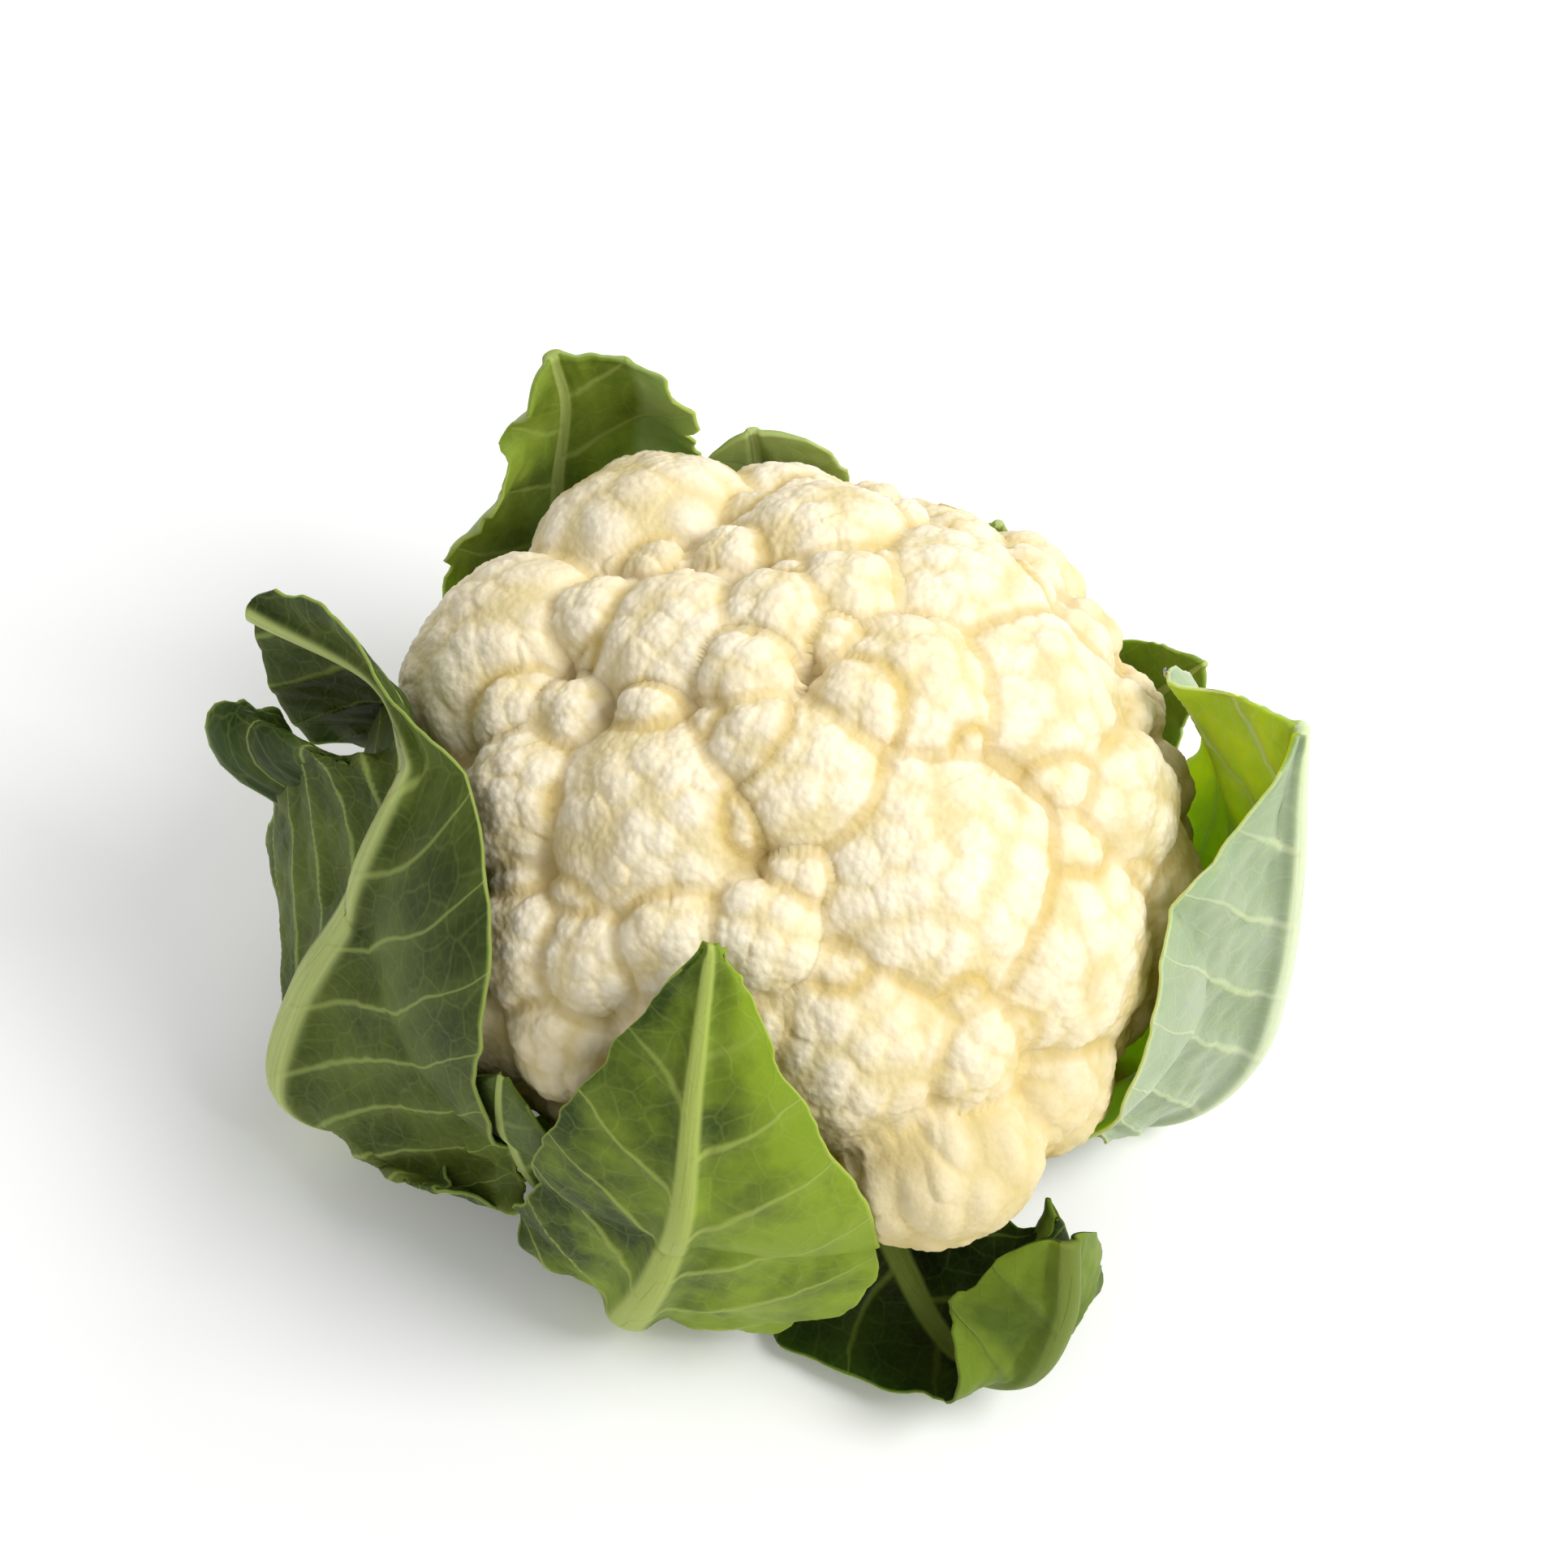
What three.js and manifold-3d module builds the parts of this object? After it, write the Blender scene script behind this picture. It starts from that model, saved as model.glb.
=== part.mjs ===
// A head of cauliflower, as cut for sale: the curd of knobbly florets, the stump of the stem and the leaves that cup it.
// Millimetres, +Z up. The origin is the centre of the stump's flat cut, on which the head stands.
// A turn is an angle about Z in degrees, counterclockwise from +X. The front of the head is -Y.
import * as THREE from "three";
import { mergeVertices } from "three/addons/utils/BufferGeometryUtils.js";
import Module from "manifold-3d";

// Curd: a dome above its widest level, a shallower bowl below it
const CURD_RADIUS = 87;
const CURD_RISE = 75;
const CURD_DROP = 34;
const WIDEST_Z = 62;
const CORE_DEPTH = 10; // how far the plain core lies under the tops of the florets

// Florets, each a ball whose outside is raised into buds
const GOLDEN_ANGLE = 180 * (3 - Math.sqrt(5));
const LARGEST_TILT = 126;
const SPIRAL_STEPS = 90; // places that the growth spiral offers between the top and the largest tilt
const SPIRAL_RADIUS_TOP = 13;
const SPIRAL_RADIUS_RIM = 24;
const FLORET_SPACING = 0.62; // least distance between two florets, in sums of their radii
const FLORET_SWELL = 1.1; // how far the florets swell into each other
const FLORET_FLATNESS = 0.8; // a floret's height over its radius
const SMALL_FLORET = 0.62; // share of its radius that a floret takes where there is no room for more
const BUD_WIDTH = 11;
const BUD_DEPTH = 0.15; // in floret radii
const CREASE_SLACK = 0.2; // slivers this narrow along the creases are closed up
const SMALL_FLORET_TILT = 74; // the small florets stop at this tilt
// Subdivisions of a floret's ball, each used up to the radius beside it
const BALL_DETAILS = [
  [15, 2],
  [25, 3],
  [40, 4],
];

// The main florets of the side that faces the viewer: turn, tilt from the axis, radius
// and how far it stands proud of the dome
const MAIN_FLORETS = [
  [348, 17, 16],
  [272, 19, 15],
  [161, 20, 16],
  [82, 30, 18],
  [37, 32, 19],
  [226, 33, 21],
  [4, 38, 21],
  [304, 39, 25],
  [262, 43, 11],
  [246, 47, 12],
  [198, 48, 14],
  [160, 57, 23, 8],
  [122, 54, 23, 7],
  [350, 58, 17],
  [62, 62, 19, -4],
  [36, 60, 16, -8],
  [22, 75, 17, -7],
  [94, 58, 17, -1],
  [120, 8, 11],
  [62, 14, 10],
  [200, 8, 9],
  [248, 16, 10],
  [320, 12, 10],
  [232, 56, 11],
  [253, 61, 14],
  [220, 62, 13],
  [280, 63, 20],
  [321, 66, 22],
  [296, 68, 11],
  [232, 73, 13],
  [293, 83, 12, -3],
  [309, 92, 17, 2],
  [290, 108, 19, 9],
];

// Stump
const STEM_RADIUS = 20;
const STEM_NECK_Z = 26; // where the stump starts to spread under the curd
const STEM_TOP_Z = 40;
const STEM_TOP_RADIUS = 36;
const STEM_SIDES = 28;
const GAP = 0.35; // between two pieces that meet

// Leaves
const BLADE_THICK = 1.2;
const TOOTH = 0.06; // depth of a margin tooth, in blade widths
const LEAST_WIDTH = 2.2;

const wasm = await Module();
wasm.setup();

const radians = THREE.MathUtils.degToRad;

// Joining and cutting solids

function solidOf(geometry) {
  const bare = geometry.index ? geometry.toNonIndexed() : geometry.clone();
  bare.deleteAttribute("normal");
  bare.deleteAttribute("uv");
  const merged = mergeVertices(bare, 1e-4);
  return new wasm.Manifold(
    new wasm.Mesh({
      numProp: 3,
      vertProperties: merged.attributes.position.array,
      triVerts: new Uint32Array(merged.index.array),
    }),
  );
}

function geometryOf(solid) {
  const mesh = solid.getMesh();
  return new THREE.BufferGeometry()
    .setAttribute("position", new THREE.BufferAttribute(mesh.vertProperties, 3))
    .setIndex(new THREE.BufferAttribute(mesh.triVerts, 1));
}

// Curd

// The point of the dome at a turn and a tilt, grown outwards by a margin
function domePoint(turn, tilt, margin = 0) {
  const height = tilt < 90 ? CURD_RISE : CURD_DROP;
  const across = (CURD_RADIUS + margin) * Math.sin(radians(tilt));
  return new THREE.Vector3(
    across * Math.cos(radians(turn)),
    across * Math.sin(radians(turn)),
    WIDEST_Z + (height + margin) * Math.cos(radians(tilt)),
  );
}

// The way straight out of the dome at a point on it
function domeNormal(point) {
  const height = point.z > WIDEST_Z ? CURD_RISE : CURD_DROP;
  return new THREE.Vector3(
    point.x / CURD_RADIUS ** 2,
    point.y / CURD_RADIUS ** 2,
    (point.z - WIDEST_Z) / height ** 2,
  ).normalize();
}

function floretAt(turn, tilt, radius, proud = 0) {
  const top = domePoint(turn, tilt, proud);
  const out = domeNormal(top);
  const centre = top.clone().addScaledVector(out, -radius * FLORET_FLATNESS);
  return { centre, out, radius };
}

// The main florets first; the growth spiral fills every place that they leave free
function floretList() {
  const florets = MAIN_FLORETS.map(([turn, tilt, radius, proud]) =>
    floretAt(turn, tilt, radius * FLORET_SWELL, proud),
  );
  const span = 1 - Math.cos(radians(LARGEST_TILT));
  for (let step = 0; step < SPIRAL_STEPS; step++) {
    const share = (step + 0.5) / SPIRAL_STEPS;
    const tilt = THREE.MathUtils.radToDeg(Math.acos(1 - span * share));
    const radius = THREE.MathUtils.lerp(SPIRAL_RADIUS_TOP, SPIRAL_RADIUS_RIM, Math.sqrt(share));
    const sizes = tilt < SMALL_FLORET_TILT ? [radius, radius * SMALL_FLORET] : [radius];
    for (const size of sizes) {
      const next = floretAt(step * GOLDEN_ANGLE, tilt, size);
      const isClear = (other) =>
        other.centre.distanceTo(next.centre) > FLORET_SPACING * (other.radius + next.radius);
      if (florets.every(isClear)) florets.push(next);
    }
  }
  return florets;
}

// Directions of the buds on a ball, in the same spiral, turned so that the first lies straight out
function budDirections(out, radius) {
  const count = Math.round((4 * radius * radius) / (BUD_WIDTH / 2) ** 2);
  const facing = new THREE.Quaternion().setFromUnitVectors(new THREE.Vector3(0, 0, 1), out);
  return Array.from({ length: count }, (_, i) => {
    const height = 1 - (2 * i + 1) / count;
    const across = Math.sqrt(1 - height * height);
    const turn = radians(i * GOLDEN_ANGLE);
    return new THREE.Vector3(
      across * Math.cos(turn),
      across * Math.sin(turn),
      height,
    ).applyQuaternion(facing);
  });
}

function floretSolid({ centre, out, radius }) {
  const detail = BALL_DETAILS.find(([largest]) => radius <= largest)[1];
  const ball = new THREE.IcosahedronGeometry(1, detail);
  const buds = budDirections(out, radius);
  const spread = (BUD_WIDTH * 0.62) / radius; // angle from a bud's top to its foot
  const place = ball.attributes.position;
  const way = new THREE.Vector3();
  for (let i = 0; i < place.count; i++) {
    way.fromBufferAttribute(place, i).normalize();
    const nearest = Math.max(...buds.map((bud) => bud.dot(way)));
    const off = Math.min(Math.acos(Math.min(nearest, 1)) / spread, 1);
    const reach = radius * (1 - BUD_DEPTH * (1 - Math.sqrt(1 - off * off)));
    way.multiplyScalar(reach);
    way.addScaledVector(out, (FLORET_FLATNESS - 1) * way.dot(out)).add(centre);
    place.setXYZ(i, way.x, way.y, way.z);
  }
  return solidOf(ball);
}

// A ball squashed to the dome's own two halves, lying under the florets
function coreSolid() {
  const core = new THREE.SphereGeometry(1, 20, 14);
  core.rotateX(Math.PI / 2);
  const place = core.attributes.position;
  for (let i = 0; i < place.count; i++) {
    const height = place.getZ(i) > 0 ? CURD_RISE : CURD_DROP;
    place.setXYZ(
      i,
      place.getX(i) * (CURD_RADIUS - CORE_DEPTH),
      place.getY(i) * (CURD_RADIUS - CORE_DEPTH),
      WIDEST_Z + place.getZ(i) * (height - CORE_DEPTH),
    );
  }
  return solidOf(core);
}

function curdGeometry() {
  let curd = coreSolid();
  for (const floret of floretList()) curd = curd.add(floretSolid(floret));
  const joined = curd.subtract(solidOf(stemGeometry(GAP))).asOriginal().simplify(CREASE_SLACK);
  const [largest] = joined.decompose().sort((a, b) => b.volume() - a.volume());
  return geometryOf(largest);
}

// Stump

function stemGeometry(margin = 0) {
  const profile = [
    [0, -margin],
    [STEM_RADIUS - 1.5 + margin, -margin],
    [STEM_RADIUS + margin, 1.5],
    [STEM_RADIUS + margin, STEM_NECK_Z],
    [STEM_TOP_RADIUS + margin, STEM_TOP_Z - 4],
    [STEM_TOP_RADIUS + margin, STEM_TOP_Z + margin],
    [0, STEM_TOP_Z + margin],
  ].map(([across, up]) => new THREE.Vector2(across, up));
  const stem = new THREE.LatheGeometry(profile, STEM_SIDES);
  stem.rotateX(Math.PI / 2);
  return stem;
}

// Leaves

// Each rib row: turn, distance from the axis, height, blade width towards + turn, blade width towards - turn.
// lift: the angle in degrees at which each half leaves the rib, outwards if positive, at the base and at the tip.
// cup: the radius in mm to which each half curls round the head, at the base and at the tip.
// wave: height of the margin's waves in mm, and their number along the leaf.
const LEAVES = [
  {
    name: "leaf_left",
    rib: [
      [198, 17, 9, 7, 7],
      [198, 58, 8.5, 18, 18],
      [198, 96, 8.5, 50, 30],
      [197, 112, 22, 61, 40],
      [195, 104, 48, 61, 42],
      [195, 92, 73, 53, 43],
      [193, 81, 97, 39, 48],
      [186, 76, 109, 11, 55],
      [174, 84, 113, 14, 55],
      [167, 113, 112, 5, 43],
    ],
    ribWidth: [15, 5],
    ribHeight: [6, 2.5],
    lift: { plus: [-30, -18, -10, -14, -100], minus: [-90, -25, 18, 48, 100] },
    cup: { plus: [90, 70], minus: [110, 150] },
    wave: [2.5, 4],
    rows: 19,
    clearance: 5,
  },
  {
    name: "leaf_front",
    rib: [
      [243, 17, 9, 6, 6],
      [244, 58, 8, 17, 17],
      [246, 84, 9, 24, 26],
      [249, 91, 24, 34, 33],
      [253, 92, 46, 43, 30],
      [256, 88, 72, 36, 31],
      [256, 78, 100, 18, 18],
      [255, 65, 124, 2, 2],
    ],
    ribWidth: [14, 3],
    ribHeight: [6, 1.5],
    lift: { plus: [-4, 0], minus: [-4, 0] },
    cup: { plus: [90, 90], minus: [90, 90] },
    wave: [1.5, 4],
    rows: 17,
    clearance: 5.5,
  },
  {
    name: "leaf_right",
    rib: [
      [338, 17, 9, 6, 6],
      [338, 57, 7, 18, 18],
      [339, 84, 9, 24, 34],
      [342, 98, 28, 45, 53],
      [345, 101, 56, 61, 56],
      [348, 100, 84, 63, 40],
      [351, 98, 106, 46, 14],
      [353, 97, 121, 8, 3],
    ],
    ribWidth: [13, 4],
    ribHeight: [5, 2],
    lift: { plus: [-30, -34], minus: [-28, -28] },
    cup: { plus: [80, 60], minus: [80, 70] },
    wave: [1.5, 3],
    rows: 17,
    clearance: 3,
  },
  {
    name: "leaf_low",
    rib: [
      [287, 17, 9, 7, 7],
      [287, 56, 6, 17, 18],
      [288, 74, 5, 24, 32],
      [289, 87, 5.5, 34, 24],
      [291, 98, 8, 38, 15],
      [295, 109, 18, 34, 18],
      [299, 108, 34, 25, 21],
      [302, 100, 48, 12, 12],
    ],
    ribWidth: [14, 4],
    ribHeight: [3, 2],
    lift: { plus: [-10, -25], minus: [0, 0, -30] },
    cup: { plus: [60, 50], minus: [500, 200, 40] },
    wave: [2, 3],
    rows: 16,
    clearance: 8,
  },
  {
    name: "leaf_small",
    rib: [
      [231, 17, 20, 5, 5],
      [231, 50, 18, 14, 13],
      [231, 72, 18, 24, 20],
      [230.5, 82, 32, 28, 19],
      [229.5, 86, 48, 26, 15],
      [228.5, 87, 64, 16, 13],
      [228, 86, 78, 2, 2],
    ],
    ribWidth: [9, 2],
    ribHeight: [2, 0.5],
    lift: { plus: [-8, 0], minus: [-8, 0] },
    cup: { plus: [80, 80], minus: [80, 80] },
    wave: [0.3, 3],
    rows: 11,
    clearance: 1.6,
  },
  {
    name: "leaf_back_left",
    rib: [
      [119, 17, 9, 7, 7],
      [119, 60, 8.5, 18, 18],
      [119, 90, 9, 30, 24],
      [121, 102, 26, 43, 30],
      [122, 102, 52, 47, 33],
      [122, 99, 80, 35, 32],
      [121, 96, 106, 17, 30],
      [122, 96, 123, 6, 24],
    ],
    ribWidth: [14, 4],
    ribHeight: [6, 2],
    lift: { plus: [-12, -6], minus: [-12, -10] },
    cup: { plus: [90, 80], minus: [110, 14] },
    wave: [3.5, 6],
    rows: 18,
    clearance: 4,
  },
  {
    name: "leaf_back",
    rib: [
      [91, 17, 20, 5, 5],
      [91, 52, 18, 12, 12],
      [92, 76, 22, 15, 18],
      [93, 87, 40, 16, 22],
      [95, 88, 64, 16, 22],
      [96, 85, 86, 14, 18],
      [97, 81, 100, 6, 7],
    ],
    ribWidth: [10, 3],
    ribHeight: [2, 1],
    lift: { plus: [-8, 0], minus: [-5, 0] },
    cup: { plus: [80, 60], minus: [85, 60] },
    wave: [0.5, 3],
    rows: 11,
    clearance: 1.6,
  },
  {
    name: "leaf_back_right",
    rib: [
      [32, 17, 20, 5, 5],
      [32, 55, 18, 13, 13],
      [34, 80, 22, 18, 16],
      [34, 89, 36, 19, 15],
      [31, 91, 52, 14, 11],
      [27, 92, 65, 8, 8],
      [24, 93, 75, 2, 2],
    ],
    ribWidth: [10, 2],
    ribHeight: [3, 1],
    lift: { plus: [-5, 0], minus: [-5, 0] },
    cup: { plus: [85, 60], minus: [85, 60] },
    wave: [1.5, 3],
    rows: 11,
    clearance: 1.8,
  },
  {
    name: "leaf_back_far",
    rib: [
      [66, 17, 9, 7, 7],
      [66, 60, 8.5, 18, 18],
      [65, 86, 9, 26, 26],
      [64, 98, 24, 34, 34],
      [63, 98, 42, 30, 30],
      [62, 95, 56, 18, 18],
      [62, 93, 66, 3, 3],
    ],
    ribWidth: [14, 3],
    ribHeight: [6, 1.5],
    lift: { plus: [-12, -6], minus: [-12, -6] },
    cup: { plus: [90, 90], minus: [90, 90] },
    wave: [2.5, 4],
    rows: 12,
    clearance: 5,
  },
];

const ribCurveOf = (leaf) =>
  new THREE.CatmullRomCurve3(
    leaf.rib.map(
      ([turn, across, up]) =>
        new THREE.Vector3(
          across * Math.cos(radians(turn)),
          across * Math.sin(radians(turn)),
          up,
        ),
    ),
    false,
    "catmullrom",
  );

// A width column of the rib table, smoothed in the same way as the rib
const widthCurveOf = (leaf) =>
  new THREE.CatmullRomCurve3(
    leaf.rib.map((row) => new THREE.Vector3(row[3], row[4], 0)),
    false,
    "catmullrom",
  );

// Moves a point that would touch the florets straight out to clear them
function clearOfCurd(point, clearance) {
  const height = (point.z > WIDEST_Z ? CURD_RISE : CURD_DROP) + clearance;
  const across = CURD_RADIUS + clearance;
  const depth = Math.hypot(
    point.x / across,
    point.y / across,
    (point.z - WIDEST_Z) / height,
  );
  if (depth >= 1) return point;
  return new THREE.Vector3(
    point.x / depth,
    point.y / depth,
    WIDEST_Z + (point.z - WIDEST_Z) / depth,
  );
}

// A value from a list that is spread evenly from the base, 0, to the tip, 1
function valueAlong(values, t) {
  const place = t * (values.length - 1);
  const index = Math.min(Math.floor(place), values.length - 2);
  return THREE.MathUtils.lerp(values[index], values[index + 1], place - index);
}

// The blade's middle surface: a function of the place along the rib, 0 to 1, and of the side and distance from it
function bladeOf(leaf) {
  const ribCurve = ribCurveOf(leaf);
  const widthCurve = widthCurveOf(leaf);
  const frameAt = (t) => {
    const at = ribCurve.getPoint(t);
    const along = ribCurve.getTangent(t);
    const side = new THREE.Vector3(-at.y, at.x, 0).normalize();
    side.addScaledVector(along, -side.dot(along)).normalize();
    const out = new THREE.Vector3().crossVectors(side, along);
    return { at, along, side, out };
  };
  const widthAt = (t, sign) => {
    const widths = widthCurve.getPoint(t);
    return Math.max(sign > 0 ? widths.x : widths.y, LEAST_WIDTH);
  };
  const pointAt = (t, sign, distance) => {
    const { at, side, out } = frameAt(t);
    const key = sign > 0 ? "plus" : "minus";
    const lift = radians(valueAlong(leaf.lift[key], t));
    const curl = 1 / valueAlong(leaf.cup[key], t);
    const turned = curl * distance;
    const sideways = (Math.sin(turned - lift) + Math.sin(lift)) / curl;
    const outwards = -(Math.cos(lift) - Math.cos(turned - lift)) / curl;
    const share = distance / widthAt(t, sign);
    const [height, waves] = leaf.wave;
    const wave = height * share ** 2 * Math.sin(2 * Math.PI * waves * t + (sign > 0 ? 0 : 2));
    return at
      .clone()
      .addScaledVector(side, sign * sideways)
      .addScaledVector(out, outwards + wave);
  };
  return { frameAt, widthAt, pointAt };
}

// Half of the blade's columns, as [share of the rib's half width, share of the blade beyond it]
const COLUMNS = [
  [0, 0],
  [0.7, 0],
  [1, 0.02],
  [1, 0.35],
  [1, 0.7],
  [1, 1],
];

function leafGeometry(leaf) {
  const blade = bladeOf(leaf);
  const rows = leaf.rows;
  const columns = [
    ...COLUMNS.slice(1)
      .reverse()
      .map((c) => [-1, ...c]),
    ...COLUMNS.map((c) => [1, ...c]),
  ];
  const count = columns.length;
  const inner = [];
  const outer = [];
  for (let row = 0; row < rows; row++) {
    const t = row / (rows - 1);
    const halfRib = THREE.MathUtils.lerp(...leaf.ribWidth, t) / 2;
    const ribHigh = THREE.MathUtils.lerp(...leaf.ribHeight, t);
    const tooth = row % 2 && row > 5 && row < rows - 1 ? 1 : 1 - TOOTH;
    for (const [sign, ribShare, share] of columns) {
      const width = Math.max(blade.widthAt(t, sign) * tooth, halfRib + 1);
      const distance = ribShare * halfRib + share * (width - halfRib);
      const point = blade.pointAt(t, sign, distance);
      const step = 0.5;
      const beside = blade.pointAt(t, sign, distance + step).sub(point).multiplyScalar(sign);
      const near = t > 0.5 ? t - 0.004 : t + 0.004;
      const ahead = blade.pointAt(near, sign, distance).sub(point).multiplyScalar(t > 0.5 ? -1 : 1);
      const out = beside.cross(ahead).normalize();
      const bulge = share > 0 ? 0 : ribHigh * Math.sqrt(1 - ribShare ** 2 * 0.9);
      const clear = clearOfCurd(point, leaf.clearance);
      inner.push(clear);
      outer.push(clear.clone().addScaledVector(out, BLADE_THICK + bulge));
    }
  }
  const points = [...inner, ...outer];
  const behind = inner.length;
  const faces = [];
  const quad = (a, b, c, d) => faces.push(a, b, c, a, c, d);
  for (let row = 0; row < rows - 1; row++)
    for (let column = 0; column < count - 1; column++) {
      const a = row * count + column;
      quad(a, a + count, a + count + 1, a + 1);
      faces.push(behind + a, behind + a + 1, behind + a + count + 1);
      faces.push(behind + a, behind + a + count + 1, behind + a + count);
    }
  for (let row = 0; row < rows - 1; row++) {
    const left = row * count;
    const right = left + count - 1;
    quad(left, behind + left, behind + left + count, left + count);
    quad(right, right + count, behind + right + count, behind + right);
  }
  for (let column = 0; column < count - 1; column++) {
    const first = column;
    const last = (rows - 1) * count + column;
    quad(first, first + 1, behind + first + 1, behind + first);
    quad(last, behind + last, behind + last + 1, last + 1);
  }
  return new THREE.BufferGeometry().setFromPoints(points).setIndex(faces);
}

// The whole head

const curdFinish = new THREE.MeshStandardMaterial({ color: 0xeee0bd, roughness: 0.75 });
const leafFinish = new THREE.MeshStandardMaterial({ color: 0x7c8f4b, roughness: 0.55 });
const stemFinish = new THREE.MeshStandardMaterial({ color: 0xc9cf9a, roughness: 0.6 });

function piece(name, geometry, finish) {
  const mesh = new THREE.Mesh(geometry, finish);
  mesh.name = name;
  return mesh;
}

const cauliflower = new THREE.Group();
cauliflower.add(piece("stem", stemGeometry(), stemFinish));
cauliflower.add(piece("curd", curdGeometry(), curdFinish));
const stemRoom = solidOf(stemGeometry(GAP));
for (const leaf of LEAVES) {
  const solid = solidOf(leafGeometry(leaf)).subtract(stemRoom);
  cauliflower.add(piece(leaf.name, geometryOf(solid), leafFinish));
}

export default cauliflower;
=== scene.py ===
import math

import bpy
import numpy as np
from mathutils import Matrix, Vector


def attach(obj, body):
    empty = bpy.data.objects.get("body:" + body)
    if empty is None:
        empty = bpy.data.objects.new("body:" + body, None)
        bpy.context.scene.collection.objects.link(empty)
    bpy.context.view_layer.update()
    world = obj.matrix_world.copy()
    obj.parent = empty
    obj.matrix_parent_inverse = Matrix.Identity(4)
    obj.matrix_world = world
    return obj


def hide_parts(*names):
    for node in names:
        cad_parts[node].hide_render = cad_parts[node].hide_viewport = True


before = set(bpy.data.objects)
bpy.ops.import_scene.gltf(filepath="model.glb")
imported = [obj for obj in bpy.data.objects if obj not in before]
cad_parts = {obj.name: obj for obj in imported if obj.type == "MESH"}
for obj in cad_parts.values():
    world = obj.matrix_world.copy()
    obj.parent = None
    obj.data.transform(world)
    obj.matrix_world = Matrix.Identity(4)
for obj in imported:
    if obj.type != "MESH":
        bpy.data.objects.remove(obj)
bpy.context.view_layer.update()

mm = 0.001
goldenAngle = math.pi * (3 - math.sqrt(5))
scene = bpy.context.scene


# Small helpers

def linear(hexColour):
    parts = [int(hexColour[i:i + 2], 16) / 255 for i in (1, 3, 5)]
    return [p / 12.92 if p <= 0.04045 else ((p + 0.055) / 1.055) ** 2.4 for p in parts] + [1]


def waves(points, size, seed):  # smooth noise of about one wave per size, from -1 to 1
    count = 7
    rng = np.random.default_rng(seed)
    ways = rng.normal(size=(count, points.shape[-1]))
    ways /= np.linalg.norm(ways, axis=1, keepdims=True)
    pitch = rng.uniform(0.7, 1.5, count) * 2 * math.pi / size
    start = rng.uniform(0, 2 * math.pi, count)
    return np.sin(points @ (ways * pitch[:, None]).T + start).mean(axis=-1) * 1.6


def smooth(low, high, x):
    s = np.clip((x - low) / (high - low), 0, 1)
    return s * s * (3 - 2 * s)


def unit(rows):
    return rows / np.maximum(np.linalg.norm(rows, axis=-1, keepdims=True), 1e-9)


def addMesh(name, points, faces, material, attributes=(), uv=None):
    mesh = bpy.data.meshes.new(name)
    mesh.from_pydata(np.asarray(points).tolist(), [], np.asarray(faces).tolist())
    for key, values in attributes:
        attribute = mesh.attributes.new(key, "FLOAT", "POINT")
        attribute.data.foreach_set("value", np.asarray(values, dtype=np.float32))
    if uv is not None:
        corner = np.empty(len(mesh.loops), dtype=np.int32)
        mesh.loops.foreach_get("vertex_index", corner)
        plane = mesh.uv_layers.new(name="leafPlane")
        plane.data.foreach_set("uv", np.asarray(uv, dtype=np.float32)[corner].ravel())
    mesh.polygons.foreach_set("use_smooth", np.ones(len(mesh.polygons), dtype=bool))
    mesh.materials.append(material)
    piece = bpy.data.objects.new(name, mesh)
    scene.collection.objects.link(piece)
    return piece


def standFor(piece, node):  # every piece rides on the one body and stands for a node of the solids
    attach(piece, "root")
    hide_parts(node)
    triangles = sum(len(p.vertices) - 2 for p in piece.data.polygons)
    print(piece.name, triangles, "triangles")
    return triangles


def newMaterial(name):
    material = bpy.data.materials.new(name)
    material.use_nodes = True
    material.node_tree.nodes.clear()
    return material


def addNode(material, kind, links=(), **settings):
    # links go into the inputs by name or number: a node, one of its outputs, a number or a hex colour
    tree = material.node_tree
    node = tree.nodes.new("ShaderNode" + kind)
    for key, value in settings.items():
        setattr(node, key, value)
    openInputs = [socket for socket in node.inputs if socket.enabled]
    byName = {socket.name: socket for socket in reversed(openInputs)}
    for key, value in dict(links).items():
        socket = openInputs[key] if isinstance(key, int) else byName[key]
        if isinstance(value, bpy.types.Node):
            value = next(s for s in value.outputs if s.enabled)
        if isinstance(value, bpy.types.NodeSocket):
            tree.links.new(value, socket)
        else:
            socket.default_value = linear(value) if isinstance(value, str) else value
    return node


# Camera, floor and light

view = {
    "elevation": 55,        # degrees over the table
    "distance": 0.80,       # metres from the aim, so that the head shows with little perspective
    "pixel": 0.17 * mm,     # size of a pixel of the 1932 px frame at the middle of the curd
    "aim": (0, 0, 62 * mm),
    "offset": (-19, 79),    # pixels from the aim to the frame's middle, right and up
}

rise = math.radians(view["elevation"])
towardsViewer = Vector((0, -math.cos(rise), math.sin(rise)))
heading = (-towardsViewer).to_track_quat("-Z", "Y")
rightWay = heading @ Vector((1, 0, 0))
upWay = heading @ Vector((0, 1, 0))
aim = Vector(view["aim"]) + (rightWay * view["offset"][0] + upWay * view["offset"][1]) * view["pixel"]
camera = bpy.data.objects.new("camera", bpy.data.cameras.new("camera"))
camera.data.sensor_width = 36
camera.data.lens = 36 * view["distance"] / (1932 * view["pixel"])
camera.rotation_mode = "QUATERNION"
camera.rotation_quaternion = heading
camera.location = aim + towardsViewer * view["distance"]
scene.collection.objects.link(camera)
scene.camera = camera

light = {
    "key": {"place": (0.75, -0.25, 0.95), "size": 0.55, "watts": 10.5},
    "rim": {"place": (0.35, 0.85, 0.8), "size": 0.6, "watts": 3},
    "sky": 0.5,
}

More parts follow.
